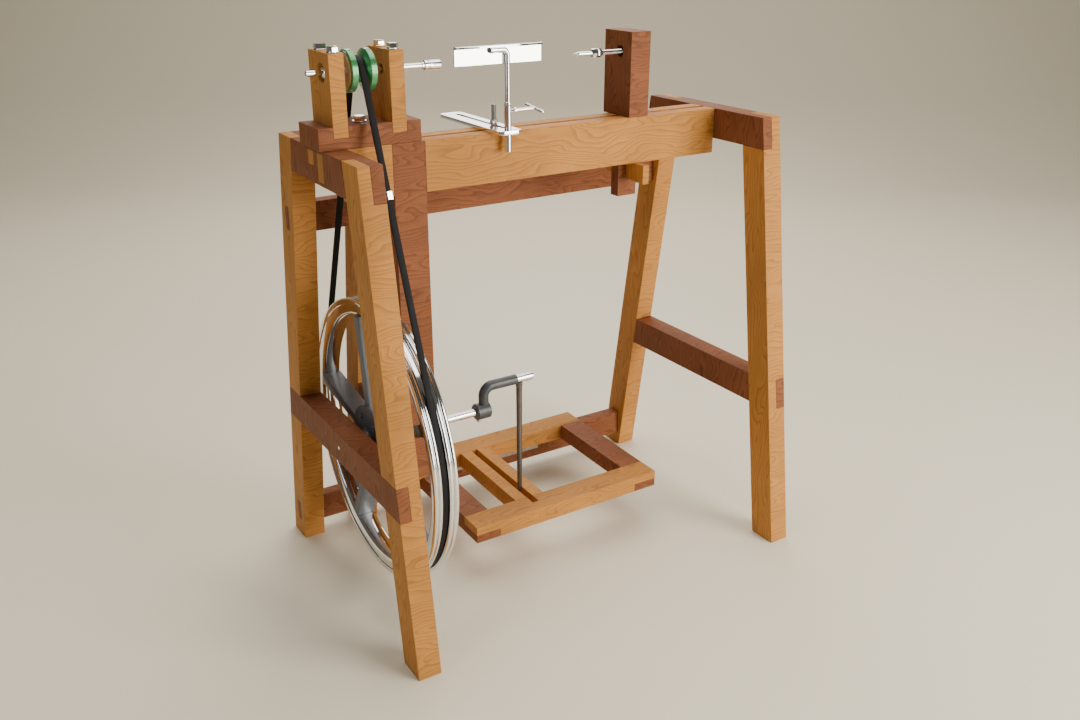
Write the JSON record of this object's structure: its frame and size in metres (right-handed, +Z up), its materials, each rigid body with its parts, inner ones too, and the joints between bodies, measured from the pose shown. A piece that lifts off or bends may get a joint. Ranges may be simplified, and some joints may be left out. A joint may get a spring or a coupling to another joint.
{
  "type": "treadle wood lathe",
  "caption": "Treadle wood lathe: oak and mahogany trestle bed with foot board, crank and spoked flywheel, belt-driven spindle, tool rest and wedged tailstock.",
  "frame": {"origin": "centre of the footprint, on the floor", "axes": "+X along the bed from headstock to tailstock, +Y from the turner's side to the back, +Z up"},
  "size_m": [0.907, 0.624, 1.0664],
  "materials": {
    "oak": "oiled",
    "mahogany": "oiled",
    "chrome": "polished",
    "steel": "brushed",
    "slate_paint": "satin",
    "green_paint": "gloss",
    "belt_rubber": "matte"
  },
  "bodies": {
    "root": {"front_left_leg": "oak", "rear_left_leg": "oak", "front_right_leg": "oak", "rear_right_leg": "oak", "left_top_rail": "mahogany", "right_top_rail": "mahogany", "left_mid_rail": "mahogany", "right_mid_rail": "mahogany", "front_bed_rail": "oak", "rear_bed_rail": "oak", "upper_stretcher": "mahogany", "lower_stretcher": "mahogany", "inner_post": "mahogany", "inner_rear_leg": "oak", "inner_top_rail": "mahogany", "inner_mid_rail": "mahogany", "inner_brace": "oak", "left_axle_bush": "steel", "inner_axle_bush": "steel", "headstock_base": "mahogany", "left_headstock_post": "oak", "right_headstock_post": "oak", "left_spindle_bearing": "steel", "right_spindle_bearing": "steel", "left_post_front_bolt": "chrome", "left_post_rear_bolt": "chrome", "right_post_front_bolt": "chrome", "right_post_rear_bolt": "chrome", "headstock_hold_down_bolt": "chrome", "headstock_clamp_plate": "steel", "drive_belt": "belt_rubber", "belt_clip": "chrome", "hinge_fixed_leaf": "steel"},
    "flywheel": {"flywheel_rim": "chrome", "flywheel_spider": "slate_paint", "axle": "chrome", "crank_arm": "slate_paint", "crank_pin": "chrome"},
    "spindle": {"spindle": "chrome", "spindle_pulley": "green_paint"},
    "pitman": {"pitman_sleeve": "chrome", "pitman_rod": "steel"},
    "treadle": {"treadle_front_board": "oak", "treadle_rear_board": "oak", "treadle_left_board": "mahogany", "treadle_right_board": "mahogany", "treadle_left_slat": "oak", "treadle_right_slat": "oak", "hinge_moving_leaf": "steel"},
    "rest_clamp": {"rest_clamp_plate": "steel"},
    "rest_stud": {"rest_stud": "steel"},
    "rest_nut": {"rest_star_nut": "steel"},
    "rest_base": {"rest_base_plate": "chrome", "rest_sleeve": "chrome"},
    "tool_rest": {"tool_rest": "chrome"},
    "rest_thumbscrew": {"rest_clamp_handle": "chrome"},
    "tailstock": {"tailstock_block": "mahogany", "tailstock_tongue": "mahogany"},
    "tail_screw": {"tail_screw": "chrome"},
    "tailstock_wedge": {"tailstock_wedge": "oak"}
  },
  "joints": [
    {"name": "flywheel_turn", "type": "hinge", "parent": "root", "child": "flywheel", "pos_m": [-0.3619, 0, 0.3325], "axis": [1, 0, 0], "continuous": true},
    {"name": "spindle_turn", "type": "hinge", "parent": "root", "child": "spindle", "pos_m": [-0.3619, 0, 1.0227], "axis": [1, 0, 0], "continuous": true},
    {"name": "pitman_swing", "type": "hinge", "parent": "flywheel", "child": "pitman", "pos_m": [-0.0465, 0, 0.384], "axis": [1, 0, 0], "continuous": true},
    {"name": "treadle_press", "type": "hinge", "parent": "root", "child": "treadle", "pos_m": [0.0215, 0.2532, 0.091], "axis": [1, 0, 0], "range_deg": [-2, 13]},
    {"name": "rest_along_bed", "type": "slide", "parent": "root", "child": "rest_clamp", "axis": [1, 0, 0], "range_m": [-0.06, 0.06]},
    {"name": "rest_swivel", "type": "hinge", "parent": "rest_clamp", "child": "rest_stud", "pos_m": [-0.0975, 0, 0.9], "axis": [0, 0, 1], "range_deg": [-12, 12]},
    {"name": "rest_in_out", "type": "slide", "parent": "rest_stud", "child": "rest_base", "axis": [0, 1, 0], "range_m": [-0.12, 0.006]},
    {"name": "rest_nut_turn", "type": "hinge", "parent": "rest_stud", "child": "rest_nut", "pos_m": [-0.0975, 0, 0.9], "axis": [0, 0, 1], "range_deg": [-180, 180]},
    {"name": "rest_height", "type": "slide", "parent": "rest_base", "child": "tool_rest", "axis": [0, 0, 1], "range_m": [-0.045, 0.04]},
    {"name": "rest_thumbscrew_turn", "type": "hinge", "parent": "rest_base", "child": "rest_thumbscrew", "pos_m": [-0.0985, -0.052, 0.94], "axis": [1, 0, 0], "range_deg": [-180, 180]},
    {"name": "tailstock_along_bed", "type": "slide", "parent": "root", "child": "tailstock", "axis": [1, 0, 0], "range_m": [-0.12, 0.15]},
    {"name": "tail_screw_advance", "type": "slide", "parent": "tailstock", "child": "tail_screw", "axis": [1, 0, 0], "range_m": [-0.01, 0.02]},
    {"name": "wedge_withdraw", "type": "slide", "parent": "tailstock", "child": "tailstock_wedge", "axis": [0, 1, 0], "range_m": [-0.045, 0]}
  ],
  "couplings": [
    {"joint": "spindle_turn", "follows": "flywheel_turn", "ratio": 11.811},
    {"joint": "pitman_swing", "follows": "flywheel_turn", "ratio": -1}
  ]
}
